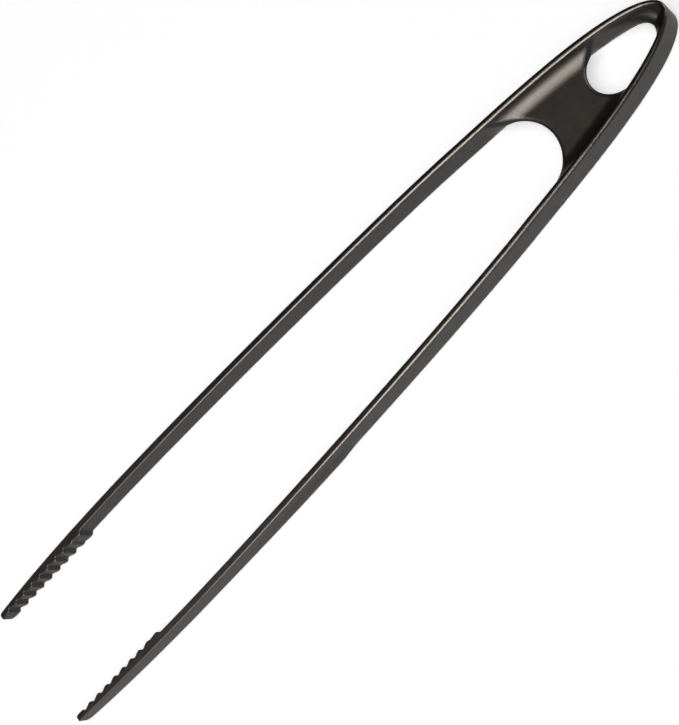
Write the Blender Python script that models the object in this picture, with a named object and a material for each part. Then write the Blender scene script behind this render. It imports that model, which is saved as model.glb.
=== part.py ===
"""One-piece spring tongs, moulded in nylon.

The tongs are one moulding: a bow, a bridge across it and two long arms that end in toothed
jaws. The whole moulding is modelled first, and is then parted where one job ends and the
next begins, so that each stretch is its own solid. Both arms turn about a point just below
the bridge, where the real strip bends.

Frame: X across the arms, +Y towards the bow, +Z up. The tongs lie flat, with the middle of
their box's underside at the origin.
"""

import math

import bmesh
import bpy
from mathutils import Vector
from mathutils.geometry import interpolate_bezier

MM = 0.001

# Driving dimensions, in millimetres. Stations count up the tongs from just above the tips.
TIP_END = -1.3
CROWN_END = 291.1
MIDDLE = (TIP_END + CROWN_END) / 2
LENGTH = 290.0
EDGE_WIDTH_TIP = 7.3
EDGE_WIDTH_BOW = 13.7
EDGE_WIDTH_POWER = 0.72
BLANK_HEIGHT = 16.0
TAPER_STATIONS = (2, 6, 12, 20, 30, 43, 60, 80, 100, 122, 146, 170, 192, 214, 236, 262)
STRIP_TIP = 2.5
STRIP_BOW = 2.0
CROWN_INSIDE = (0.0, 285.6)
CROWN_INSIDE_FROM = 284.2
BOW_THICKENS_FROM = 268.0
BOW_THICKENING = 0.05
NOSE_LOW_RADIUS = 3.0
NOSE_TOP_RADIUS = 2.5
NOSE_STEPS = 5

# Outer edge of the right arm: Bezier knots (x, station) with the handles between them.
TIP_KNOT = (23.0, TIP_END)
WIDEST_KNOT = (24.7, 52.3)
SHOULDER_KNOT = (17.9, 216.2)
CROWN_KNOT = (0.0, CROWN_END)
OUTER_BEZIERS = (
    (TIP_KNOT, (23.5, 5.1), (24.7, 22.1), WIDEST_KNOT),
    (WIDEST_KNOT, (24.7, 94.3), (21.1, 185.1), SHOULDER_KNOT),
    (SHOULDER_KNOT, (16.1, 234.3), (12.6, CROWN_END), CROWN_KNOT),
)
BEZIER_STEPS = (6, 16, 22)

# Jaw: ten saw teeth whose steep sides face the bow.
TOOTH_COUNT = 10
TOOTH_PITCH = 4.18
LAST_CREST = 2.6
CREST_X = 21.2
TOOTH_DEPTH = 0.85
STEEP_RUN = 1.35
CREST_FLAT = 0.5
VALLEY_FLAT = 0.3
JAW_START = 43.0
ARC_STEPS = 5

# Bridge: a thin web at mid height, with round hollows on both sides of it.
WEB_THICKNESS = 2.4
WEB_MIDDLE_Z = 6.4
HOLLOW_RADIUS = 4.8
HOLLOW_CLEARANCE = 0.06
HOLLOW_FROM = 220.0
HOLLOW_TO = 277.0
HOLLOW_ROWS = 14
HOLE_CENTRE = 266.5
HOLE_RADIUS = 7.5
HOLE_LEAVES_AT = math.radians(-25)
HOLE_MEETS_STRIP = 271.0
MOUTH_CENTRE = 228.2
MOUTH_RADIUS = 12.9
MOUTH_LEAVES_AT = math.radians(30)
MOUTH_MEETS_STRIP = 225.5

# Where the moulding is parted, as stations, and the gap between two stretches.
FLEX_STATION = 214.0
CROWN_FROM = 279.0
BOW_FROM = 270.0
GRIP_FROM = 122.0
SPRING_FROM = 170.0
BRIDGE_HALF_WIDTH = 7.4
GAP = 0.3
MARGIN = 20.0

COLLECTION = "spring_tongs"
CUTTERS = "cutters"
NYLON = (0.062, 0.058, 0.054, 1.0)


def world(x, station, z=0.0):
    """A point in metres in the part's frame, from millimetres and a station from the tips."""
    return Vector((x, station - MIDDLE, z)) * MM


def edge_width(station):
    """Height of the strip, from its lower edge to its upper edge."""
    share = max(station, 0.0) / LENGTH
    return EDGE_WIDTH_TIP + (EDGE_WIDTH_BOW - EDGE_WIDTH_TIP) * share ** EDGE_WIDTH_POWER


def strip_thickness(station):
    return STRIP_TIP + (STRIP_BOW - STRIP_TIP) * station / LENGTH


def bezier(start, start_handle, end_handle, end, steps):
    """Points along one cubic, both ends included."""
    corners = [Vector((x, y, 0.0)) for x, y in (start, start_handle, end_handle, end)]
    return [(point.x, point.y) for point in interpolate_bezier(*corners, steps + 1)]


def outer_edge():
    """The right arm's outer edge, from the tip to the crown."""
    points = []
    for knots, steps in zip(OUTER_BEZIERS, BEZIER_STEPS):
        points += bezier(*knots, steps)[bool(points):]
    return points


def inner_edge():
    """The right strip's inner face. The strip thickens in the bow and is thickest at the crown."""
    outer = outer_edge()
    points = []
    for before, here, after in zip(outer, outer[1:], outer[2:]):
        along = Vector((after[0] - before[0], after[1] - before[1])).normalized()
        inset = strip_thickness(here[1]) + BOW_THICKENING * max(here[1] - BOW_THICKENS_FROM, 0.0)
        points.append((here[0] - along.y * inset, here[1] + along.x * inset))
    return [point for point in points if point[1] < CROWN_INSIDE_FROM] + [CROWN_INSIDE]


def at_station(points, station):
    """The x of an edge at a station, between the two points that it lies between."""
    for (x0, y0), (x1, y1) in zip(points, points[1:]):
        if y0 <= station <= y1:
            return x0 + (x1 - x0) * (station - y0) / (y1 - y0)
    raise ValueError("station is off the edge")


def slope_at(points, station):
    step = 1.0
    return (at_station(points, station + step) - at_station(points, station - step)) / (2 * step)


def jaw_teeth():
    """The right jaw's inner face, from the tip to the strip above the jaw."""
    points = []
    for tooth in range(TOOTH_COUNT):
        crest = LAST_CREST + tooth * TOOTH_PITCH
        points.append((CREST_X, crest - CREST_FLAT / 2))
        points.append((CREST_X, crest + CREST_FLAT / 2))
        if tooth < TOOTH_COUNT - 1:
            valley = crest + STEEP_RUN
            points.append((CREST_X + TOOTH_DEPTH, valley - VALLEY_FLAT / 2))
            points.append((CREST_X + TOOTH_DEPTH, valley + VALLEY_FLAT / 2))
    points.append((CREST_X + TOOTH_DEPTH * 0.6, JAW_START - 1.0))
    return points


def leaving_blend(circle_centre, radius, angle, inner, station, upward):
    """A soft curve from an opening's arc, left at an angle, onto the strip's inner face."""
    start = (radius * math.cos(angle), circle_centre + radius * math.sin(angle))
    turn = 1 if upward else -1
    heading = Vector((-math.sin(angle), math.cos(angle))) * turn
    end = (at_station(inner, station), station)
    strip_heading = Vector((slope_at(inner, station), 1.0)).normalized() * turn
    reach = math.dist(start, end)
    start_handle = (start[0] + heading.x * reach * 0.45, start[1] + heading.y * reach * 0.45)
    end_handle = (end[0] - strip_heading.x * reach * 0.3, end[1] - strip_heading.y * reach * 0.3)
    return bezier(start, start_handle, end_handle, end, 6)


def arc_points(centre, radius, from_angle, to_angle, steps):
    angles = [from_angle + (to_angle - from_angle) * i / steps for i in range(steps + 1)]
    return [(radius * math.cos(a), centre + radius * math.sin(a)) for a in angles]


def mirrored(half):
    """A closed outline from its right half, which starts and ends on the middle line."""
    return half + [(-x, y) for x, y in reversed(half[1:-1])]


def moulding_outline():
    """The outside: round the arms and jaws, and up through the mouth between them."""
    outer = outer_edge()
    inner = inner_edge()
    tip_radius = (at_station(outer, 0.0) - CREST_X) / 2
    tip_centre = TIP_END + tip_radius
    outside = [point for point in reversed(outer) if point[1] > tip_centre]
    arc = arc_points(tip_centre, tip_radius, 0.0, -math.pi, 8)
    tip = [(CREST_X + tip_radius + x, y) for x, y in arc]
    blend = leaving_blend(MOUTH_CENTRE, MOUTH_RADIUS, MOUTH_LEAVES_AT, inner, MOUTH_MEETS_STRIP, False)
    strip = [point for point in inner if JAW_START + 1 < point[1] < MOUTH_MEETS_STRIP - 1]
    arc = arc_points(MOUTH_CENTRE, MOUTH_RADIUS, MOUTH_LEAVES_AT, math.pi / 2, 10)
    half = outside + tip + jaw_teeth() + strip + blend[::-1] + arc[1:]
    return mirrored(half)


def hole_outline():
    """The hanging hole between the bridge and the bow."""
    inner = inner_edge()
    blend = leaving_blend(HOLE_CENTRE, HOLE_RADIUS, HOLE_LEAVES_AT, inner, HOLE_MEETS_STRIP, True)
    arc = arc_points(HOLE_CENTRE, HOLE_RADIUS, -math.pi / 2, HOLE_LEAVES_AT, 10)
    bow = [point for point in inner if point[1] > HOLE_MEETS_STRIP + 1]
    return mirrored(arc + blend[1:] + bow)


def new_object(name, mesh, collection):
    thing = bpy.data.objects.new(name, mesh)
    bpy.data.collections[collection].objects.link(thing)
    return thing


def mesh_from(solid, mesh):
    """Write a closed bmesh into a mesh, with its faces turned outwards."""
    bmesh.ops.recalc_face_normals(solid, faces=solid.faces)
    if solid.calc_volume(signed=True) < 0:
        bmesh.ops.reverse_faces(solid, faces=solid.faces)
    solid.to_mesh(mesh)
    solid.free()


def flat_blank():
    """The moulding's plan, extruded to more than its full height."""
    curve = bpy.data.curves.new("plan", "CURVE")
    curve.dimensions = "2D"
    curve.fill_mode = "BOTH"
    curve.extrude = BLANK_HEIGHT / 2 * MM
    for outline in (moulding_outline(), hole_outline()):
        spline = curve.splines.new("POLY")
        spline.points.add(len(outline) - 1)
        for point, (x, station) in zip(spline.points, outline):
            point.co = (*world(x, station), 1.0)
        spline.use_cyclic_u = True
    drawn = new_object("plan", curve, CUTTERS)
    drawn.location.z = BLANK_HEIGHT / 2 * MM
    bpy.context.view_layer.update()
    evaluated = drawn.evaluated_get(bpy.context.evaluated_depsgraph_get())
    mesh = bpy.data.meshes.new_from_object(evaluated)
    mesh.transform(drawn.matrix_world)
    bpy.data.objects.remove(drawn)
    solid = bmesh.new()
    solid.from_mesh(mesh)
    bmesh.ops.remove_doubles(solid, verts=solid.verts, dist=0.00001)
    mesh_from(solid, mesh)
    return new_object("moulding", mesh, CUTTERS)


def loft(name, rows):
    """A closed body through rows of matching points, capped at both ends."""
    solid = bmesh.new()
    rings = [[solid.verts.new(point) for point in row] for row in rows]
    count = len(rings[0])
    for ring, following in zip(rings, rings[1:]):
        for i in range(count):
            after = (i + 1) % count
            solid.faces.new((ring[i], ring[after], following[after], following[i]))
    solid.faces.new(rings[0])
    solid.faces.new(rings[-1])
    mesh = bpy.data.meshes.new(name)
    mesh_from(solid, mesh)
    return as_cutter(new_object(name, mesh, CUTTERS))


def as_cutter(thing):
    thing.hide_render = True
    thing.display_type = "WIRE"
    return thing


def taper_cutter():
    """What lies above the strip's upper edge, which falls towards the tips."""
    rows = []
    for station in (-5, 0, *TAPER_STATIONS, LENGTH, LENGTH + 5):
        low = edge_width(min(station, LENGTH))
        corners = ((-MARGIN * 2, low), (MARGIN * 2, low), (MARGIN * 2, MARGIN), (-MARGIN * 2, MARGIN))
        rows.append([world(x, station, z) for x, z in corners])
    return loft("taper_cutter", rows)


def nose_cutter():
    """What lies beyond the tips' rounded noses, seen from the side."""
    low, top = NOSE_LOW_RADIUS, NOSE_TOP_RADIUS
    angles = [math.pi / 2 * i / NOSE_STEPS for i in range(NOSE_STEPS + 1)]
    start = TIP_END - GAP / 10
    below = [(start + low * (1 - math.sin(a)), low * (1 - math.cos(a))) for a in angles]
    high = EDGE_WIDTH_TIP - top
    above = [(start + top * (1 - math.cos(a)), high + top * math.sin(a)) for a in angles]
    far = start - MARGIN
    profile = [(far, -MARGIN), (start + low, -MARGIN), *below, *above, (start + top, MARGIN), (far, MARGIN)]
    rows = [[world(x, station, z) for station, z in profile] for x in (-MARGIN * 2, MARGIN * 2)]
    return loft("nose_cutter", rows)


def hollow_cutter(name, side):
    """A trough between the two strips: side 1 lies above the web, and -1 below it."""
    inner = inner_edge()
    rows = []
    for row in range(HOLLOW_ROWS + 1):
        station = HOLLOW_FROM + (HOLLOW_TO - HOLLOW_FROM) * row / HOLLOW_ROWS
        wall = at_station(inner, station) - HOLLOW_CLEARANCE
        floor = WEB_THICKNESS / 2
        radius = min(HOLLOW_RADIUS, wall * 0.9)
        section = [(wall, MARGIN)]
        for i in range(ARC_STEPS + 1):
            angle = math.pi / 2 * i / ARC_STEPS
            sideways = wall - radius + radius * math.cos(angle)
            section.append((sideways, floor + radius - radius * math.sin(angle)))
        section += [(-x, z) for x, z in reversed(section)]
        rows.append([world(x, station, WEB_MIDDLE_Z + side * z) for x, z in section])
    return loft(name, rows)


def region_cutter(name, x_span, station_span):
    """A tall box round one stretch of the moulding, inset by half the gap at its partings."""
    inset = GAP / 2
    x_low, x_high = x_span[0] + inset, x_span[1] - inset
    low, high = station_span[0] + inset, station_span[1] - inset
    corners = ((x_low, -MARGIN), (x_high, -MARGIN), (x_high, MARGIN * 2), (x_low, MARGIN * 2))
    rows = [[world(x, station, z) for x, z in corners] for station in (low, high)]
    return loft(name + "_region", rows)


def boolean(thing, cutter, operation):
    step = thing.modifiers.new(cutter.name, "BOOLEAN")
    step.operation = operation
    step.solver = "EXACT"
    step.object = cutter


def nylon():
    material = bpy.data.materials.new("black_nylon")
    material.use_nodes = True
    shader = material.node_tree.nodes["Principled BSDF"]
    shader.inputs["Base Color"].default_value = NYLON
    shader.inputs["Roughness"].default_value = 0.45
    shader.inputs["Metallic"].default_value = 0.0
    return material


def baked_moulding():
    """The whole moulding as one plain mesh, which every stretch is cut from."""
    blank = flat_blank()
    boolean(blank, taper_cutter(), "DIFFERENCE")
    boolean(blank, nose_cutter(), "DIFFERENCE")
    boolean(blank, hollow_cutter("upper_hollow", 1), "DIFFERENCE")
    boolean(blank, hollow_cutter("lower_hollow", -1), "DIFFERENCE")
    bpy.context.view_layer.update()
    evaluated = blank.evaluated_get(bpy.context.evaluated_depsgraph_get())
    mesh = bpy.data.meshes.new_from_object(evaluated)
    bpy.data.objects.remove(blank)
    return mesh


def stretches():
    """Each stretch's name, its span across, its span of stations, and the arm that carries it."""
    far = MARGIN * 3
    yield "bow_crown", (-far, far), (CROWN_FROM, LENGTH + MARGIN), None
    yield "bridge_web", (-BRIDGE_HALF_WIDTH, BRIDGE_HALF_WIDTH), (FLEX_STATION, BOW_FROM), None
    arm_spans = (
        ("spring", (SPRING_FROM, FLEX_STATION)),
        ("grip", (GRIP_FROM, SPRING_FROM)),
        ("shank", (JAW_START, GRIP_FROM)),
        ("jaw", (-MARGIN, JAW_START)),
    )
    for side, sign in (("right", 1), ("left", -1)):
        outside = sorted((0.0, sign * far))
        beside_web = sorted((sign * BRIDGE_HALF_WIDTH, sign * far))
        yield side + "_bow_side", outside, (BOW_FROM, CROWN_FROM), None
        yield side + "_root", beside_web, (FLEX_STATION, BOW_FROM), None
        for job, span in arm_spans:
            yield f"{side}_{job}", outside, span, side


def flex_empty(side, sign):
    """The line that an arm turns about: the middle of the strip at the flex station."""
    outer = at_station(outer_edge(), FLEX_STATION)
    middle = sign * (outer - strip_thickness(FLEX_STATION) / 2)
    pivot = bpy.data.objects.new(side + "_flex", None)
    pivot.empty_display_size = 5 * MM
    pivot.location = world(middle, FLEX_STATION, edge_width(FLEX_STATION) / 2)
    bpy.data.collections[COLLECTION].objects.link(pivot)
    return pivot


def main():
    for thing in list(bpy.data.objects):
        bpy.data.objects.remove(thing)
    for name in (COLLECTION, CUTTERS):
        bpy.context.scene.collection.children.link(bpy.data.collections.new(name))
    moulding = baked_moulding()
    material = nylon()
    pivots = {"right": flex_empty("right", 1), "left": flex_empty("left", -1)}
    for name, x_span, station_span, arm in stretches():
        mesh = moulding.copy()
        mesh.name = name
        mesh.materials.clear()
        mesh.materials.append(material)
        stretch = new_object(name, mesh, COLLECTION)
        if arm:
            pivot = pivots[arm]
            mesh.transform(pivot.matrix_basis.inverted())
            stretch.parent = pivot
        boolean(stretch, region_cutter(name, x_span, station_span), "INTERSECT")


main()
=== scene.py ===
# %% [markdown]
# # Spring tongs moulded in one piece of black nylon
#
# These kitchen tongs are a single injection moulding. A flat strip of nylon runs up one arm,
# bends round a pointed bow and runs down the other arm. A thin web, the bridge, ties the two
# halves together under the bow, and each arm ends in a jaw with saw teeth. The spring is the
# plastic: the arms bend just below the bridge and push open again.
#
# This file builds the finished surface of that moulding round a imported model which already
# holds the real sizes, the two flexing joints and the names of the bodies. The first cell
# loads it. Everything is in metres, Z points up, and the tips of the jaws point towards -Y.

# %% Load the frame
import math

import bmesh
import bpy
import numpy as np
from mathutils import Matrix, Vector
from mathutils.geometry import interpolate_bezier


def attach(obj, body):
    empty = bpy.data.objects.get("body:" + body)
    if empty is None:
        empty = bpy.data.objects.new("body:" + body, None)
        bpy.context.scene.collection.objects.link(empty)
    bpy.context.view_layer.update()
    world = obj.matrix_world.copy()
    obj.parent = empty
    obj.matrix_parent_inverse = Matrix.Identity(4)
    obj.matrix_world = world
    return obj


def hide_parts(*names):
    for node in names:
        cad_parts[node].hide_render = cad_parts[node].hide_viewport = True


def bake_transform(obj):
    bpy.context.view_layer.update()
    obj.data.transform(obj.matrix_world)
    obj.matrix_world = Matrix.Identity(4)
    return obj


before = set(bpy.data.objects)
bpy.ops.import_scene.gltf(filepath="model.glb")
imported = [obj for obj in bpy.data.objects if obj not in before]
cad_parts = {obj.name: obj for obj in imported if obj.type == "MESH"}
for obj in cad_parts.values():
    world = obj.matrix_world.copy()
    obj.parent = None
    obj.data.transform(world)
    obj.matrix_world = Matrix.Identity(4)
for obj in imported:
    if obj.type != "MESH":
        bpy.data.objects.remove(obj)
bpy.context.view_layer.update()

MM = 0.001

# %% [markdown]
# ## The camera
#
# A long lens looks down on the tongs from above their right-hand side, so the arms run from
# the top right corner to the bottom left one. A camera looks along its own -Z, with +Y up, so
# its turn is a matrix whose columns are its right, its up and its back. Writing the three
# directions down says more than three Euler angles would.

# %% Camera
CAMERA_PLACE = (0.19623, 0.11861, 0.52351)
CAMERA_RIGHT = Vector((0.625341, 0.675616, -0.390502))
CAMERA_UP = Vector((-0.700619, 0.706452, 0.100292))
LENS_MM = 89.52

camera_data = bpy.data.cameras.new("camera")
camera_data.sensor_width = 36.0
camera_data.lens = LENS_MM
camera_data.clip_start = 0.01
camera = bpy.data.objects.new("camera", camera_data)
camera_turn = Matrix((CAMERA_RIGHT, CAMERA_UP, CAMERA_RIGHT.cross(CAMERA_UP))).transposed()
camera.matrix_world = Matrix.Translation(CAMERA_PLACE) @ camera_turn.to_4x4()
bpy.context.scene.collection.objects.link(camera)
bpy.context.scene.camera = camera
print("camera at", CAMERA_PLACE)

# %% [markdown]
# ## Writing nodes as sums
#
# A node tree is a formula drawn as boxes. Long formulas are easier to read as text, so one
# small class holds a socket and lets Python's own operators add the Math nodes. `1 - mask`
# works too, because the reflected forms are there. Every other node comes from one method,
# `node`, which sets the node's settings first and then plugs values or wires into its sockets.

# %% A wire that can be written into a sum
class Wire:
    """A socket of a node tree. A sum written with wires adds Math nodes to that tree."""

    def __init__(self, tree, socket=None):
        self.tree = tree
        self.socket = socket

    def node(self, kind, settings=None, sockets=None):
        """Add a node: its settings first, then its sockets, by name or by number."""
        made = self.tree.nodes.new(kind)
        for name, value in (settings or {}).items():
            if name == "curve_points":
                draw_curve(made.mapping, value)
            elif name == "captures":
                for kind_of_value, label in value:
                    made.capture_items.new(kind_of_value, label)
            else:
                setattr(made, name, value)
        for key, value in (sockets or {}).items():
            if isinstance(value, Wire):
                self.tree.links.new(value.socket, made.inputs[key])
            else:
                made.inputs[key].default_value = value
        return made

    def out(self, made, key=0):
        return Wire(self.tree, made.outputs[key])

    def math(self, operation, *values):
        made = self.node("ShaderNodeMath", {"operation": operation}, dict(enumerate(values)))
        return self.out(made)

    def vector(self, operation, *values):
        made = self.node("ShaderNodeVectorMath", {"operation": operation}, dict(enumerate(values)))
        return self.out(made)

    def parts(self):
        """The x, y and z of a vector."""
        made = self.node("ShaderNodeSeparateXYZ", None, {0: self})
        return [self.out(made, i) for i in range(3)]

    def ramp(self, low, high):
        """0 below low, 1 above high, and a smooth change between them."""
        made = self.node(
            "ShaderNodeMapRange",
            {"interpolation_type": "SMOOTHSTEP"},
            {"Value": self, "From Min": low, "From Max": high},
        )
        return self.out(made)

    def __add__(self, other):
        return self.math("ADD", self, other)

    def __sub__(self, other):
        return self.math("SUBTRACT", self, other)

    def __rsub__(self, other):
        return self.math("SUBTRACT", other, self)

    def __mul__(self, other):
        return self.math("MULTIPLY", self, other)

    def __truediv__(self, other):
        return self.math("DIVIDE", self, other)

    def __pow__(self, other):
        return self.math("POWER", self, other)

    __radd__ = __add__
    __rmul__ = __mul__


def draw_curve(mapping, points):
    """Draw a curve node's line through these points, with soft corners."""
    line = mapping.curves[0]
    for point, place in zip(line.points, (points[0], points[-1])):
        point.location = place
    for place in points[1:-1]:
        line.points.new(*place)
    mapping.update()


print("node sums ready")

# %% [markdown]
# ## The line of the strip
#
# One curve governs the whole moulding: the outer edge of the strip seen from above. It leaves
# the tip almost straight, is widest a little above the jaw, leans in past the shoulder and
# closes at the pointed crown. Three Bezier stretches draw it. Stations count millimetres up
# from just above the tips, because that is how a maker would mark the strip out, and
# `at_station` reads the edge at any of them. The strip's height and thickness are rules of the
# station too. The long upper edge is rounded more and more on its way up to the bow.

# %% The strip's plan and section rules
TIP_END, CROWN_END = -1.3, 291.1
MIDDLE = (TIP_END + CROWN_END) / 2
LENGTH = 290.0
OUTER_BEZIERS = (
    ((23.0, TIP_END), (23.5, 5.1), (24.7, 22.1), (24.7, 52.3)),
    ((24.7, 52.3), (24.7, 94.3), (21.1, 185.1), (17.9, 216.2)),
    ((17.9, 216.2), (16.1, 234.3), (12.6, CROWN_END), (0.0, CROWN_END)),
)
BEZIER_STEPS = 48
TIP_HEIGHT, BOW_HEIGHT, HEIGHT_POWER = 7.3, 13.7, 0.72
TIP_STRIP, BOW_STRIP = 2.5, 2.0
UPPER_ROUNDING, LOWER_ROUNDING = 0.8, 0.5
UPPER_ROUNDING_AT_JAW = 0.3


def bezier(corners, steps):
    knots = [Vector((x, y, 0.0)) for x, y in corners]
    return np.array([point[:2] for point in interpolate_bezier(*knots, steps + 1)])


def strip_height(station):
    share = np.clip(station / LENGTH, 0.0, None)
    return TIP_HEIGHT + (BOW_HEIGHT - TIP_HEIGHT) * share ** HEIGHT_POWER


def strip_thickness(station):
    return TIP_STRIP + (BOW_STRIP - TIP_STRIP) * station / LENGTH


outer_edge = np.vstack([bezier(OUTER_BEZIERS[0], BEZIER_STEPS)[:1]]
                       + [bezier(knots, BEZIER_STEPS)[1:] for knots in OUTER_BEZIERS])
along = np.gradient(outer_edge, axis=0)
along /= np.linalg.norm(along, axis=1)[:, None]
inward = np.stack([-along[:, 1], along[:, 0]], axis=1)
inner_edge = outer_edge + inward * strip_thickness(outer_edge[:, 1])[:, None]
inner_edge = np.vstack([inner_edge[inner_edge[:, 0] > 0.1], (0.0, CROWN_END - BOW_STRIP)])


def at_station(edge, station):
    """The x of an edge at a station."""
    return float(np.interp(station, edge[:, 1], edge[:, 0]))


print("widest:", round(2 * outer_edge[:, 0].max(), 2), "mm")

# %% [markdown]
# ## The nylon
#
# Moulded nylon comes out of the tool satin: here it is nearly black, a little warm, with a
# fine grain. The colour hardly changes, so the eye reads the finish from how the light breaks
# up on it. The grain is a Bump from two fine noises, the gloss wanders a little over a few
# millimetres, and long faint streaks run along the arms, the way the plastic would flow.
# Object coordinates keep every pattern fixed to the plastic. Values that are the same
# everywhere are set on the shader's own sockets.
#
# `NYLON_GLOSS` is lower than real nylon's. With the real value, a floor this
# white would turn the upright faces grey. The upper edges are made a little shinier, which
# stands for wear. The strip's own rule of height says where they are.

# %% Nylon material
NYLON_DARK = (0.0034, 0.0025, 0.0018, 1.0)
NYLON_LIGHT = (0.0090, 0.0066, 0.0048, 1.0)
NYLON_GLOSS = 0.11
NYLON_TINT = (1.0, 0.94, 0.88, 1.0)
NYLON_IOR = 1.53
SATIN = 0.36
GRAIN_STRENGTH, GRAIN_DEPTH = 0.8, 0.09 * MM
GLOSS_PATCH = 4 * MM
FLOW_STREAK = 1.4 * MM
FLOW_STRETCH = 0.09
GRAIN = 0.45 * MM
PITTING = 0.9 * MM
RUBBED_FULLY, RUBBED_DOWN_TO = 0.35 * MM, 1.0 * MM
RUBBED_FROM = (-90 * MM, 0.0)
RUBBED_GLOSS = 0.13


def speckle(wire, place, size, detail, roughness=0.5):
    """Noise with patches of this size, from 0 to 1."""
    made = wire.node(
        "ShaderNodeTexNoise",
        {"noise_dimensions": "3D"},
        {"Vector": place, "Scale": 1 / size, "Detail": detail, "Roughness": roughness},
    )
    return wire.out(made, "Fac")


def black_nylon():
    material = bpy.data.materials.new("black_nylon")
    material.use_nodes = True
    tree = material.node_tree
    shader = tree.nodes["Principled BSDF"]
    wire = Wire(tree)
    place = wire.out(wire.node("ShaderNodeTexCoord"), "Object")
    along_flow = wire.out(
        wire.node("ShaderNodeMapping", None, {"Vector": place, "Scale": (1, FLOW_STRETCH, 1)})
    )
    patches = speckle(wire, place, GLOSS_PATCH, 3)
    streaks = speckle(wire, along_flow, FLOW_STREAK, 3)
    grain = speckle(wire, place, GRAIN, 2, 0.6)
    pits = speckle(wire, place, PITTING, 4, 0.65)

    tone = (patches * 0.5 + streaks * 0.3 + grain * 0.2).ramp(0.3, 0.7)
    colour = wire.node(
        "ShaderNodeMix",
        {"data_type": "RGBA"},
        {"Factor": tone, 6: NYLON_DARK, 7: NYLON_LIGHT},
    )
    tree.links.new(colour.outputs[2], shader.inputs["Base Color"])
    _, up_the_strip, high = place.parts()
    share = wire.math("MAXIMUM", (up_the_strip + MIDDLE * MM) / (LENGTH * MM), 0.0)
    upper_edge = TIP_HEIGHT * MM + (BOW_HEIGHT - TIP_HEIGHT) * MM * share ** HEIGHT_POWER
    rubbed = 1 - (upper_edge - high).ramp(RUBBED_FULLY, RUBBED_DOWN_TO)
    rubbed = rubbed * up_the_strip.ramp(*RUBBED_FROM)
    roughness = SATIN + patches * 0.09 + streaks * 0.05 + (grain - 0.5) * 0.05 - rubbed * RUBBED_GLOSS
    tree.links.new(roughness.socket, shader.inputs["Roughness"])
    relief = grain * 0.6 + pits * 0.4
    bump = wire.node(
        "ShaderNodeBump",
        None,
        {"Height": relief, "Strength": GRAIN_STRENGTH, "Distance": GRAIN_DEPTH},
    )
    tree.links.new(bump.outputs[0], shader.inputs["Normal"])
    shader.inputs["IOR"].default_value = NYLON_IOR
    shader.inputs["Specular IOR Level"].default_value = NYLON_GLOSS
    shader.inputs["Specular Tint"].default_value = NYLON_TINT
    shader.inputs["Metallic"].default_value = 0.0
    return material


nylon = black_nylon()
print("material:", nylon.name, "with", len(nylon.node_tree.nodes), "nodes")

# %% [markdown]
# ## Where the arms part from the head
#
# The real moulding has no seam here. The arms have to bend in the imported model's joints, so
# each arm is its own piece, cut off at the seam. The seam is cut square to the strip just below
# the bridge, and both pieces have the same section there, so the surface runs across it without
# a break.

# %% Seam
SEAM_STATION = 222.6

seam_x = at_station(outer_edge, SEAM_STATION)
seam_row = int(np.searchsorted(outer_edge[:, 1], SEAM_STATION))
seam_way = Vector((*along[seam_row], 0.0))
seam_lean = math.degrees(math.atan2(-seam_way.x, seam_way.y))
print("seam at x", round(seam_x, 2), "mm, strip leaning", round(seam_lean, 1), "degrees")

# %% [markdown]
# ## An arm with its toothed jaw
#
# An arm follows a path, and its teeth repeat, so Geometry Nodes suit it. The path is a row of
# points on the outer edge, closer together in the jaw. A ring of points stands for the
# strip's section, a rectangle with rounded corners. Curve to Mesh carries the ring along the
# path, and Set Position then puts every point where the rules say: the strip's height and
# thickness at that station, a half-round tip, and a saw tooth drawn once in a curve node and
# repeated by the remainder of a division.

# %% Ring of the section
CORNER_POINTS = 7
SIDE_POINTS = 5
CORNER_SIGNS = ((1, 1), (-1, 1), (-1, -1), (1, -1))


def section_ring():
    """The section as a ring: `side` says which corner, `turn` which way the surface faces."""
    sides, turns = [], []
    for quarter, sign in enumerate(CORNER_SIGNS):
        following = CORNER_SIGNS[(quarter + 1) % 4]
        for step in range(CORNER_POINTS + SIDE_POINTS):
            angle = math.radians(90) * (quarter + min(step / (CORNER_POINTS - 1), 1.0))
            share = max(step - CORNER_POINTS + 1, 0) / (SIDE_POINTS + 1)
            sides.append([a + (b - a) * share for a, b in zip(sign, following)] + [0.0])
            turns.append((math.cos(angle), math.sin(angle), 0.0))
    ring = bpy.data.meshes.new("section_ring")
    count = len(sides)
    round_and_round = [(i, (i + 1) % count) for i in range(count)]
    ring.from_pydata([Vector(turn) * MM for turn in turns], round_and_round, [])
    for name, values in (("side", sides), ("turn", turns)):
        ring.attributes.new(name, "FLOAT_VECTOR", "POINT").data.foreach_set("vector", np.ravel(values))
    thing = bpy.data.objects.new("section_ring", ring)
    bpy.context.scene.collection.objects.link(thing)
    return thing


ring = section_ring()
print("points round the strip:", len(ring.data.vertices))

# %% Path of an arm
TIP_RADIUS = 1.0
TIP_RINGS = 10
JAW_TOP = 45.0
JAW_SPACING = 0.15
ARM_SPACING = 1.2


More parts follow.
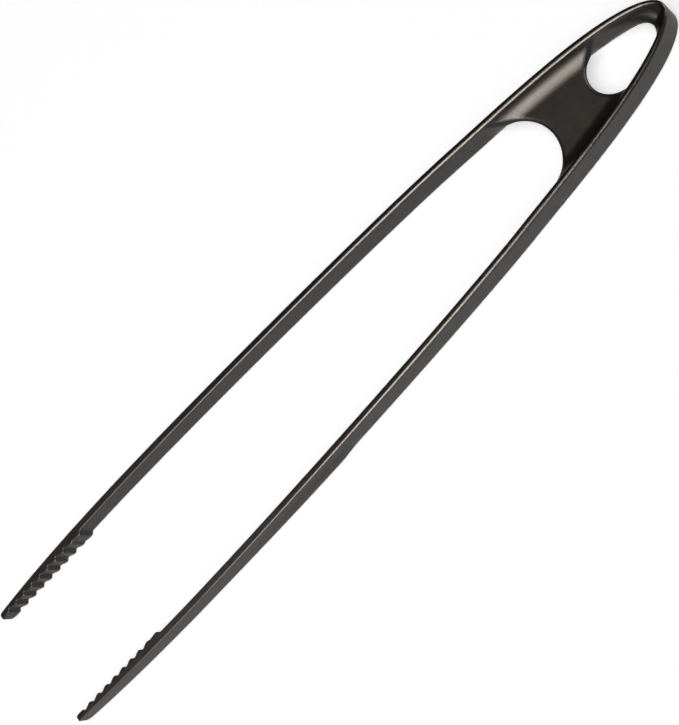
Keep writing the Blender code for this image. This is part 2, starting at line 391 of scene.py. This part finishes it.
def arm_path():
    """Points up the right arm's outer edge: close together round the tip and in the jaw."""
    turns = [math.radians(90) * (i + 0.5) / TIP_RINGS for i in range(TIP_RINGS)]
    tip = [TIP_END + TIP_RADIUS * (1 - math.cos(turn)) for turn in turns]
    jaw = np.arange(TIP_END + TIP_RADIUS + JAW_SPACING, JAW_TOP, JAW_SPACING)
    rings = round((SEAM_STATION - JAW_TOP) / ARM_SPACING) + 1
    strip = np.linspace(JAW_TOP, SEAM_STATION, rings)
    stations = np.concatenate([tip, jaw, strip])
    points = [(at_station(outer_edge, s) * MM, (s - MIDDLE) * MM, 0.0) for s in stations]
    path = bpy.data.meshes.new("arm_path")
    path.from_pydata(points, [(i, i + 1) for i in range(len(points) - 1)], [])
    thing = bpy.data.objects.new("arm_path", path)
    bpy.context.scene.collection.objects.link(thing)
    return thing


path = arm_path()
print("rings along an arm:", len(path.data.vertices))

# %% [markdown]
# The tree's named inputs are the arm's sizes, so another pair of tongs is a matter of other
# numbers. `place` counts teeth up from the last crest, its fraction goes through the drawn
# tooth, and 0 is the crest. The steep side of a tooth faces the bow, so that food can't slip
# out as the tongs are lifted. The top tooth is only a shoulder with a shallow dip under it.
# Part way up, the lower half of the outer face steps out by a fraction of a millimetre, where
# the tool's inserts meet.

# %% Tree that makes an arm
TOOTH_DRAWING = (
    (0.0, 0.0), (0.06, 0.03), (0.27, 0.93), (0.33, 1.0), (0.40, 0.93), (0.92, 0.05), (1.0, 0.0)
)
ARM_SIZES = {
    "Length": LENGTH * MM,
    "Middle": MIDDLE * MM,
    "Tip end": TIP_END * MM,
    "Height at tip": TIP_HEIGHT * MM,
    "Height at bow": BOW_HEIGHT * MM,
    "Height power": HEIGHT_POWER,
    "Strip at tip": TIP_STRIP * MM,
    "Strip at bow": BOW_STRIP * MM,
    "Upper rounding": UPPER_ROUNDING * MM,
    "Upper rounding at jaw": UPPER_ROUNDING_AT_JAW * MM,
    "Rounding grows from": 40 * MM,
    "Rounding grows to": 210 * MM,
    "Lower rounding": LOWER_ROUNDING * MM,
    "Tip radius": TIP_RADIUS * MM,
    "Nose radius below": 3.0 * MM,
    "Nose radius above": 2.5 * MM,
    "Tooth count": 10.0,
    "Tooth pitch": 4.18 * MM,
    "Tooth depth": 0.85 * MM,
    "Last crest": 2.6 * MM,
    "Crest line": 21.2 * MM,
    "Jaw start": 42.1 * MM,
    "Step station": 122.3 * MM,
    "Step height": 0.45 * MM,
}


def arm_tree():
    tree = bpy.data.node_groups.new("tongs_arm", "GeometryNodeTree")
    tree.interface.new_socket("Path", in_out="INPUT", socket_type="NodeSocketGeometry")
    tree.interface.new_socket("Section", in_out="INPUT", socket_type="NodeSocketObject")
    tree.interface.new_socket("Nylon", in_out="INPUT", socket_type="NodeSocketMaterial")
    for name in ARM_SIZES:
        tree.interface.new_socket(name, in_out="INPUT", socket_type="NodeSocketFloat")
    tree.interface.new_socket("Arm", in_out="OUTPUT", socket_type="NodeSocketGeometry")
    wire = Wire(tree)
    given = wire.node("NodeGroupInput")
    size = {name: wire.out(given, name) for name in ARM_SIZES}

    line = wire.out(wire.node("GeometryNodeMeshToCurve", None, {"Mesh": wire.out(given, "Path")}))
    caught = wire.node(
        "GeometryNodeCaptureAttribute",
        {"captures": (("VECTOR", "Edge"), ("VECTOR", "Way"))},
        {
            "Geometry": line,
            "Edge": wire.out(wire.node("GeometryNodeInputPosition")),
            "Way": wire.out(wire.node("GeometryNodeInputTangent")),
        },
    )
    section = wire.node("GeometryNodeObjectInfo", None, {"Object": wire.out(given, "Section")})
    loop = wire.node("GeometryNodeMeshToCurve", None, {"Mesh": wire.out(section, "Geometry")})
    tube = wire.node(
        "GeometryNodeCurveToMesh",
        None,
        {"Curve": wire.out(caught, "Geometry"), "Profile Curve": wire.out(loop), "Fill Caps": True},
    )

    edge, way = wire.out(caught, "Edge"), wire.out(caught, "Way")
    side, turn = (
        wire.out(wire.node("GeometryNodeInputNamedAttribute", {"data_type": "FLOAT_VECTOR"}, {"Name": name}))
        for name in ("side", "turn")
    )
    side_x, side_z, _ = side.parts()
    turn_x, turn_z, _ = turn.parts()
    edge_x, edge_y, _ = edge.parts()
    station = edge_y + size["Middle"]
    share = wire.math("MAXIMUM", station / size["Length"], 0.0)
    height = size["Height at tip"] + (
        size["Height at bow"] - size["Height at tip"]
    ) * share ** size["Height power"]
    strip = size["Strip at tip"] + (size["Strip at bow"] - size["Strip at tip"]) * share

    place = (station - size["Last crest"]) / size["Tooth pitch"]
    place = wire.math("MINIMUM", wire.math("MAXIMUM", place, 0.0), size["Tooth count"] - 1)
    drawn = wire.node(
        "ShaderNodeFloatCurve", {"curve_points": TOOTH_DRAWING}, {"Value": wire.math("FRACT", place)}
    )
    top_dip = wire.math("GREATER_THAN", place, size["Tooth count"] - 2)
    tooth = wire.out(drawn) * (1 - top_dip * 0.62)
    jaw = edge_x - (size["Crest line"] + size["Tooth depth"] * tooth)
    above_jaw = station.ramp(size["Jaw start"] - 1.7 * MM, size["Jaw start"])
    thickness = jaw + (strip - jaw) * above_jaw

    from_tip = station - size["Tip end"]

    def quarter_round(radius):
        """From 0 at the tip to 1 one radius further up, as a quarter of a circle."""
        share = wire.math("MINIMUM", from_tip / radius, 1.0)
        return wire.math("SQRT", wire.math("MAXIMUM", 1 - (1 - share) ** 2, 0.0))

    half = thickness * 0.5 * quarter_round(size["Tip radius"])
    bottom = size["Nose radius below"] * (1 - quarter_round(size["Nose radius below"]))
    top = height - size["Nose radius above"] * (1 - quarter_round(size["Nose radius above"]))
    rounder = station.ramp(size["Rounding grows from"], size["Rounding grows to"])
    upper = size["Upper rounding at jaw"] + (
        size["Upper rounding"] - size["Upper rounding at jaw"]
    ) * rounder
    rounding = size["Lower rounding"] + (upper - size["Lower rounding"]) * (side_z + 1) * 0.5
    rounding = wire.math("MINIMUM", rounding, half * 0.97)
    raised = (top + bottom) * 0.5 + side_z * ((top - bottom) * 0.5 - rounding) + turn_z * rounding

    low_half = 1 - (raised / height).ramp(0.1, 0.75)
    step_up = 1 - station.ramp(size["Step station"], size["Step station"] + 8 * MM)
    step_fade = station.ramp(size["Step station"] - 64 * MM, size["Step station"] - 4 * MM)
    outer_side = wire.math("MAXIMUM", side_x, 0.0)
    proud = size["Step height"] * low_half * step_up * step_fade * outer_side
    across = side_x * (half - rounding) + turn_x * rounding + proud - thickness * 0.5

    outwards = wire.vector("NORMALIZE", wire.vector("CROSS_PRODUCT", way, (0.0, 0.0, 1.0)))
    upwards = wire.out(wire.node("ShaderNodeCombineXYZ", None, {"Z": raised}))
    moved = wire.node("ShaderNodeVectorMath", {"operation": "SCALE"}, {0: outwards, "Scale": across})
    target = wire.vector("ADD", edge, wire.vector("ADD", wire.out(moved), upwards))
    shaped = wire.node("GeometryNodeSetPosition", None, {"Geometry": wire.out(tube), "Position": target})
    plain = wire.node("GeometryNodeRealizeInstances", None, {"Geometry": wire.out(shaped)})
    coated = wire.node(
        "GeometryNodeSetMaterial", None, {"Geometry": wire.out(plain), "Material": wire.out(given, "Nylon")}
    )
    wire.node("NodeGroupOutput", None, {"Arm": wire.out(coated)})
    return tree


tree = arm_tree()
print("arm tree:", len(tree.nodes), "nodes,", len(ARM_SIZES), "sizes")

# %% [markdown]
# A modifier's input is set by its socket's identifier, before the object is first evaluated.
# The evaluated result becomes a plain mesh, which loses the tree and keeps the shape. The left
# arm is the right arm's mirror image. A mirror turns a mesh inside out, so its faces are
# flipped back.

# %% Both arms
SMOOTH_ANGLE = math.radians(38)


def finished(name, mesh):
    """An object at the origin, smooth except at the square cuts, with its faces outwards."""
    solid = bmesh.new()
    solid.from_mesh(mesh)
    if solid.calc_volume(signed=True) < 0:
        bmesh.ops.reverse_faces(solid, faces=solid.faces)
    solid.to_mesh(mesh)
    solid.free()
    mesh.name = name
    mesh.shade_smooth()
    mesh.set_sharp_from_angle(angle=SMOOTH_ANGLE)
    mesh.materials.clear()
    mesh.materials.append(nylon)
    piece = bpy.data.objects.new(name, mesh)
    bpy.context.scene.collection.objects.link(piece)
    return piece


def swept_arm():
    bend = path.modifiers.new("arm", "NODES")
    bend.node_group = tree
    values = dict(ARM_SIZES, Section=ring, Nylon=nylon)
    for socket in tree.interface.items_tree:
        if socket.name in values:
            bend[socket.identifier] = values[socket.name]
    bpy.context.view_layer.update()
    evaluated = path.evaluated_get(bpy.context.evaluated_depsgraph_get())
    return bpy.data.meshes.new_from_object(evaluated)


right_mesh = swept_arm()
left_mesh = right_mesh.copy()
left_mesh.transform(Matrix.Scale(-1, 4, (1, 0, 0)))
for helper in (path, ring):
    bpy.data.objects.remove(helper)
arms = {"right": finished("right_arm_skin", right_mesh), "left": finished("left_arm_skin", left_mesh)}
for side, arm in arms.items():
    print(side, "arm:", len(arm.data.polygons), "faces")

# %% [markdown]
# ## The head: bow, bridge and roots
#
# The head isn't a strip along a path. Two strips, a bow, a web at mid height, a scooped hollow
# above and below the web, and two round openings all melt into each other. A field of
# distances describes that well. Each cut is a number at every point, negative in the
# plastic, and taking the larger of two cuts keeps what both leave. A small formula in place
# of that larger one gives the edge between them a true radius, and on a hollow it gives the
# round fillet in its corner.
#
# The outlines come first. The mouth's arc leaves the web and runs softly into the strips, and
# the hanging hole's arc does the same on its way up to the bow. The bow's walls lean, so that
# the steel core slides out of the hole: the hole is drawn once for the lower edge and once for
# the upper one.

# %% Outlines of the openings
HOLE_CENTRE, HOLE_RADIUS, HOLE_LEAVES_AT, HOLE_MEETS_STRIP = 266.5, 7.5, math.radians(-25), 271.0
MOUTH_CENTRE, MOUTH_RADIUS, MOUTH_LEAVES_AT, MOUTH_MEETS_STRIP = 228.2, 12.9, math.radians(30), 225.5
HEAD_FROM = 200.0
ARC_STEPS = 24
BOW_KNOTS_LOW = ((6.3, 276.5), (4.6, 283.0), (0.0, 283.0))
BOW_KNOTS_TOP = ((7.2, 277.0), (4.0, 285.9), (0.0, 285.9))


def arc(centre, radius, start, end):
    angles = np.linspace(start, end, ARC_STEPS)
    return np.stack([radius * np.cos(angles), centre + radius * np.sin(angles)], axis=1)


def run_onto_strip(centre, radius, angle, station, way):
    """A soft curve that leaves an arc at an angle and ends along the strip's inner face."""
    start = np.array((radius * math.cos(angle), centre + radius * math.sin(angle)))
    end = np.array((at_station(inner_edge, station), station))
    lean = at_station(inner_edge, station + 1) - at_station(inner_edge, station - 1)
    leaving = np.array((-math.sin(angle), math.cos(angle))) * way
    arriving = np.array((lean / 2, 1.0)) / math.hypot(lean / 2, 1.0) * way
    reach = float(np.linalg.norm(end - start))
    return bezier((start, start + leaving * reach * 0.45, end - arriving * reach * 0.3, end), ARC_STEPS)


def both_sides(half):
    """A closed outline from its right half."""
    mirror = half[::-1] * (-1, 1)
    return np.vstack([half, mirror[mirror[:, 0] < 0]])


def between(edge, low, high):
    return edge[(edge[:, 1] > low) & (edge[:, 1] < high)]


strip_below = between(inner_edge, HEAD_FROM, MOUTH_MEETS_STRIP)
mouth_run = run_onto_strip(MOUTH_CENTRE, MOUTH_RADIUS, MOUTH_LEAVES_AT, MOUTH_MEETS_STRIP, -1)
mouth_arc = arc(MOUTH_CENTRE, MOUTH_RADIUS, MOUTH_LEAVES_AT, math.radians(90))
hole_run = run_onto_strip(HOLE_CENTRE, HOLE_RADIUS, HOLE_LEAVES_AT, HOLE_MEETS_STRIP, 1)
hole_arc = arc(HOLE_CENTRE, HOLE_RADIUS, math.radians(-90), HOLE_LEAVES_AT)
strip_end = (at_station(inner_edge, HOLE_MEETS_STRIP), HOLE_MEETS_STRIP)
hole_foot = np.vstack([hole_arc, hole_run[1:]])
bow_low, bow_top = (bezier((strip_end, *knots), 2 * ARC_STEPS) for knots in (BOW_KNOTS_LOW, BOW_KNOTS_TOP))

OUTLINES = {
    "outside": both_sides(between(outer_edge, HEAD_FROM, CROWN_END + 1)),
    "mouth": both_sides(np.vstack([strip_below, mouth_run[::-1], mouth_arc[1:]])),
    "hole_low": both_sides(np.vstack([hole_foot, bow_low[1:]])),
    "hole_top": both_sides(np.vstack([hole_foot, bow_top[1:]])),
    "walls": both_sides(between(inner_edge, HEAD_FROM, CROWN_END)),
}
print("points in the outlines:", {name: len(points) for name, points in OUTLINES.items()})

# %% [markdown]
# The distance to each outline is worked out once on a fine flat grid and read off between its
# points later, because each outline is the same at every height. `side_by_side` says how
# nearly an opening's edge runs along the strip beside it.

# %% Distances in plan
PLAN_STEP = 0.16
FACING_LIMITS = (-0.9, 0.99)
PLAN_LOW = np.array((-22.0, 216.0))
PLAN_HIGH = np.array((22.0, CROWN_END + 3.0))


def outline_distance(points, outline):
    """Distance to a closed outline, negative inside it."""
    nearest = np.full(len(points), np.inf)
    inside = np.zeros(len(points), bool)
    for start, end in zip(outline, np.roll(outline, -1, axis=0)):
        side, offset = end - start, points - start
        share = np.clip(offset @ side / max(side @ side, 1e-12), 0, 1)
        gap = offset - share[:, None] * side
        nearest = np.minimum(nearest, (gap * gap).sum(axis=1))
        if start[1] != end[1]:
            crosses = (start[1] > points[:, 1]) != (end[1] > points[:, 1])
            inside ^= crosses & (offset[:, 0] < offset[:, 1] * side[0] / side[1])
    return np.where(inside, -1.0, 1.0) * np.sqrt(nearest)


plan_x = np.arange(PLAN_LOW[0], PLAN_HIGH[0], PLAN_STEP)
plan_y = np.arange(PLAN_LOW[1], PLAN_HIGH[1], PLAN_STEP)
plan_points = np.stack(np.meshgrid(plan_x, plan_y, indexing="ij"), axis=-1).reshape(-1, 2)
PLAN = {
    name: outline_distance(plan_points, outline).reshape(len(plan_x), len(plan_y))
    for name, outline in OUTLINES.items()
}

slope = {
    name: np.stack(np.gradient(PLAN[name], PLAN_STEP), axis=-1) for name in ("mouth", "hole_low", "walls")
}
near_mouth = (PLAN["mouth"] < PLAN["hole_low"])[..., None]
from_opening = np.where(near_mouth, slope["mouth"], slope["hole_low"])
PLAN["side_by_side"] = np.clip((from_opening * slope["walls"]).sum(axis=-1), *FACING_LIMITS)


def plan_distance(name, x, y):
    """The distance to an outline at any place, read between the four nearest grid points."""
    across, up = (x - PLAN_LOW[0]) / PLAN_STEP, (y - PLAN_LOW[1]) / PLAN_STEP
    i = np.clip(across.astype(int), 0, len(plan_x) - 2)
    j = np.clip(up.astype(int), 0, len(plan_y) - 2)
    u, v = across - i, up - j
    grid = PLAN[name]
    low = grid[i, j] * (1 - u) + grid[i + 1, j] * u
    high = grid[i, j + 1] * (1 - u) + grid[i + 1, j + 1] * u
    return low * (1 - v) + high * v


print("plan grid:", PLAN["outside"].shape)

# %% Field of the head
WEB_MIDDLE, HALF_WEB = 6.4, 1.2
HOLLOW_RADIUS = 4.8
BULLNOSE, BULLNOSE_AT_WALL = 1.1, 3.8
BULLNOSE_FADE = 5.5
CROWN_LEAN = 0.4
CROWN_LEANS_FROM, CROWN_LEANS_FULLY = 262.0, 288.0


def meet(a, b, radius):
    """Keep what two cuts leave, with an edge of this radius where they meet."""
    corner = np.hypot(np.maximum(a + radius, 0), np.maximum(b + radius, 0))
    return np.minimum(np.maximum(a, b), -radius) + corner


def round_over(a, b, facing, radius):
    """Keep what two cuts leave, with a true radius at any angle. `facing` is 1 where the two
    cuts run side by side, and nothing is taken off there."""
    a, b = a + radius, b + radius
    spread = np.maximum(1 - facing * facing, 0.02)
    reach_a, reach_b = (a - facing * b) / spread, (b - facing * a) / spread
    corner = np.sqrt(np.maximum(reach_a * a + reach_b * b, 0))
    rounded = (reach_a > 0) & (reach_b > 0) & (corner > 0)
    return np.where(rounded, corner, np.maximum(a, b)) - radius


def head_field(points):
    """Distance to the head's surface in mm, negative in the plastic."""
    x, y, z = points.T
    up = z / strip_height(y)
    near_crown = np.clip((y - CROWN_LEANS_FROM) / (CROWN_LEANS_FULLY - CROWN_LEANS_FROM), 0, 1) ** 2
    outside = plan_distance("outside", x, y) + CROWN_LEAN * up * near_crown
    hole = plan_distance("hole_low", x, y) * (1 - up) + plan_distance("hole_top", x, y) * up
    openings = np.maximum(-plan_distance("mouth", x, y), -hole)
    walls = plan_distance("walls", x, y)
    fade = np.clip(1 + walls / BULLNOSE_FADE, 0, 1)
    bullnose = BULLNOSE + (BULLNOSE_AT_WALL - BULLNOSE) * fade * fade * (3 - 2 * fade)
    side_by_side = plan_distance("side_by_side", x, y)

    def rim(floor):
        """The web's rounded rim on one side: floor is how far a point is above that side."""
        hollow = meet(walls, -floor, HOLLOW_RADIUS)
        up_wall = np.maximum(walls + HOLLOW_RADIUS, 0)
        up_floor = np.maximum(HOLLOW_RADIUS - floor, 0)
        steep = up_wall / np.maximum(np.hypot(up_wall, up_floor), 1e-6)
        return round_over(openings, -hollow, side_by_side * steep, bullnose)

    upper = np.maximum(outside, rim(z - WEB_MIDDLE - HALF_WEB))
    lower = np.maximum(outside, rim(WEB_MIDDLE - HALF_WEB - z))
    return np.maximum(meet(upper, z - strip_height(y), UPPER_ROUNDING), meet(lower, -z, LOWER_ROUNDING))


# %% [markdown]
# The surface is where the field is zero. Surface nets find it: a grid of small cells, a point
# in each cell that the surface crosses, and a face round each grid edge that it crosses. Each
# point then slides down the field's slope until it lies on the surface to a few thousandths
# of a millimetre, which takes the grid's steps out of the fillets and the highlights.

# %% Skin of the head
CELL = 0.34
HEAD_LOW = np.array((-20.0, 219.0, -1.0))
HEAD_HIGH = np.array((20.0, CROWN_END + 1.0, BOW_HEIGHT + 1.0))
SLOPE_STEP = 0.04
SETTLING = 5


def surface_net(solid):
    """A point in each crossed cell, and a face round each crossed edge of the grid."""
    corners = [
        solid[i:i + solid.shape[0] - 1, j:j + solid.shape[1] - 1, k:k + solid.shape[2] - 1].astype(int)
        for i in (0, 1) for j in (0, 1) for k in (0, 1)
    ]
    filled = sum(corners)
    crossed = (filled > 0) & (filled < 8)
    number = np.full(crossed.shape, -1)
    number[crossed] = np.arange(crossed.sum())
    faces = []
    for axis in range(3):
        order = (axis, (axis + 1) % 3, (axis + 2) % 3)
        nodes, cells = np.transpose(solid, order), np.transpose(number, order)
        here, there = nodes[:-1, 1:-1, 1:-1], nodes[1:, 1:-1, 1:-1]
        for leaving in (True, False):
            i, j, k = np.nonzero((here == leaving) & (there != leaving))
            loop = [cells[i, j, k], cells[i, j + 1, k], cells[i, j + 1, k + 1], cells[i, j, k + 1]]
            faces.append(np.stack(loop if leaving else loop[::-1], axis=1))
    return np.argwhere(crossed) + 0.5, np.vstack(faces)


def settle(points):
    """Slide points down the field's slope onto the surface."""
    for _ in range(SETTLING):
        slope = np.empty_like(points)
        for axis in range(3):
            step = np.zeros(3)
            step[axis] = SLOPE_STEP
            slope[:, axis] = (head_field(points + step) - head_field(points - step)) / (2 * SLOPE_STEP)
        steepness = np.maximum((slope * slope).sum(axis=1), 0.25)
        points = points - slope * (head_field(points) / steepness)[:, None]
    return points


axes = [np.arange(low, high, CELL) for low, high in zip(HEAD_LOW, HEAD_HIGH)]
grid = np.stack(np.meshgrid(*axes, indexing="ij"), axis=-1)
field = head_field(grid.reshape(-1, 3)).reshape(grid.shape[:3])
cell_places, head_faces = surface_net(field < 0)
head_points = settle(HEAD_LOW + cell_places * CELL)
head_mesh = bpy.data.meshes.new("head_skin")
head_mesh.from_pydata((head_points - (0, MIDDLE, 0)) * MM, [], head_faces)
print("head:", len(head_points), "points,", len(head_faces), "faces")

# %% [markdown]
# The field ran a little past the seams, so the head is cut off square there, one side at a
# time, and each cut is filled with a flat face.

# %% Cut the head at the seams
def cut_at_seam(solid, side):
    """Cut one strip off below its seam and close the cut."""
    place = Vector((side * seam_x, SEAM_STATION - MIDDLE, 0.0)) * MM
    way = Vector((side * seam_way.x, seam_way.y, 0.0))
    near = [face for face in solid.faces if face.calc_center_median().x * side > 0]
    around = {vert for face in near for vert in face.verts} | {edge for face in near for edge in face.edges}
    bmesh.ops.bisect_plane(
        solid, geom=near + list(around), dist=1e-7, plane_co=place, plane_no=way, clear_inner=True
    )
    rim = [edge for edge in solid.edges if edge.is_boundary and edge.verts[0].co.x * side > 0]
    bmesh.ops.holes_fill(solid, edges=rim, sides=0)


solid = bmesh.new()
solid.from_mesh(head_mesh)
open_before = sum(edge.is_boundary for edge in solid.edges)
for side in (1, -1):
    cut_at_seam(solid, side)
open_edges = sum(not edge.is_manifold for edge in solid.edges)
solid.to_mesh(head_mesh)
solid.free()
head = finished("head_skin", head_mesh)
print("open edges before and after the caps:", open_before, open_edges)

# %% [markdown]
# ## What moves with what
#
# The head skin rides on the head and stands for its six stretches. Each arm skin stands for
# its arm's four stretches, which are hidden, and stays where it was built: nothing here makes it
# bend. The real strip has no hinge, only a stretch that bends.

# %% Ride on the head, stand in for the arms
HEAD_NODES = ("bow_crown", "bridge_web", "left_bow_side", "right_bow_side", "left_root", "right_root")
ARM_STRETCHES = ("spring", "grip", "shank", "jaw")

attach(head, "head")
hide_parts(*HEAD_NODES)
for side, arm in arms.items():
    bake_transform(arm)
    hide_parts(*(f"{side}_{stretch}" for stretch in ARM_STRETCHES))

# %% [markdown]
# ## The floor and the light
#
# The tongs lie on a plain white floor. Black plastic shows its form only through what it
# reflects, so the light matters more than the colour. The soft boxes have two jobs, and each
# box's ray visibility keeps it to one of them. `floor_light` gives diffuse light, nearly all
# of it seen on the floor, and shows in no gloss. The other three show only as gloss on the
# nylon: the key box draws the band in the left-hand scoop and the line along the rounded
# edges, and the side box and the far box add to the gloss from the right and from beyond the
# bow. The floor also glows by itself, which keeps the shadows faint.

# %% Floor
FLOOR_GAP = 0.05 * MM
FLOOR_SIDE = 6.0
FLOOR_WHITE = (0.86, 0.86, 0.86, 1.0)
FLOOR_WHITER = (0.89, 0.89, 0.89, 1.0)
FLOOR_CLOUD = 0.4
FLOOR_GLOW = 0.55


def pale_floor():
    material = bpy.data.materials.new("pale_floor")
    material.use_nodes = True
    shader = material.node_tree.nodes["Principled BSDF"]
    wire = Wire(material.node_tree)
    place = wire.out(wire.node("ShaderNodeTexCoord"), "Object")
    cloud = speckle(wire, place, FLOOR_CLOUD, 2)
    shade = wire.node(
        "ShaderNodeMix",
        {"data_type": "RGBA"},
        {"Factor": cloud, 6: FLOOR_WHITE, 7: FLOOR_WHITER},
    )
    material.node_tree.links.new(shade.outputs[2], shader.inputs["Base Color"])
    shader.inputs["Roughness"].default_value = 0.8
    shader.inputs["Specular IOR Level"].default_value = 0.0
    shader.inputs["Emission Color"].default_value = (1.0, 1.0, 1.0, 1.0)
    shader.inputs["Emission Strength"].default_value = FLOOR_GLOW
    return material


floor_mesh = bpy.data.meshes.new("floor")
reach = FLOOR_SIDE / 2
floor_mesh.from_pydata([(-reach, -reach, -FLOOR_GAP), (reach, -reach, -FLOOR_GAP),
                        (reach, reach, -FLOOR_GAP), (-reach, reach, -FLOOR_GAP)], [], [(0, 1, 2, 3)])
floor_mesh.materials.append(pale_floor())
floor = bpy.data.objects.new("floor", floor_mesh)
bpy.context.scene.collection.objects.link(floor)
print("floor:", FLOOR_SIDE, "m")

# %% Lights
AIM = Vector((0.0, 0.0, 0.006))
WARM_WHITE = (1.0, 0.95, 0.9)
WORLD_LIGHT = 0.05
SOFT_BOXES = {
    # name: direction from the tongs, distance, width, length, watts, what it lights
    "floor_light": ((0.1, -0.1, 1.0), 1.2, 1.2, 1.2, 9.2, "diffuse"),
    "key_box": ((0.50, -0.21, 0.84), 0.9, 0.50, 0.9, 88.0, "gloss"),
    "side_box": ((0.93, -0.15, 0.33), 0.9, 0.25, 0.9, 60.0, "gloss"),
    "far_box": ((0.05, 0.96, 0.24), 1.0, 0.7, 0.3, 38.0, "gloss"),
}


def soft_box(name, way, distance, width, length, watts, lights_the):
    data = bpy.data.lights.new(name, "AREA")
    data.shape = "RECTANGLE"
    data.size = width
    data.size_y = length
    data.energy = watts
    data.color = WARM_WHITE if lights_the == "gloss" else (1.0, 1.0, 1.0)
    box = bpy.data.objects.new(name, data)
    box.location = AIM + Vector(way).normalized() * distance
    box.rotation_mode = "QUATERNION"
    box.rotation_quaternion = Vector(way).to_track_quat("Z", "Y")
    box.visible_glossy = lights_the == "gloss"
    box.visible_diffuse = lights_the == "diffuse"
    bpy.context.scene.collection.objects.link(box)
    return box


for name, sizes in SOFT_BOXES.items():
    soft_box(name, *sizes)

world = bpy.data.worlds.new("studio")
world.use_nodes = True
world.node_tree.nodes["Background"].inputs["Color"].default_value = (1.0, 1.0, 1.0, 1.0)
world.node_tree.nodes["Background"].inputs["Strength"].default_value = WORLD_LIGHT
bpy.context.scene.world = world
bpy.context.scene.view_settings.view_transform = "Standard"
print("lights:", list(SOFT_BOXES))
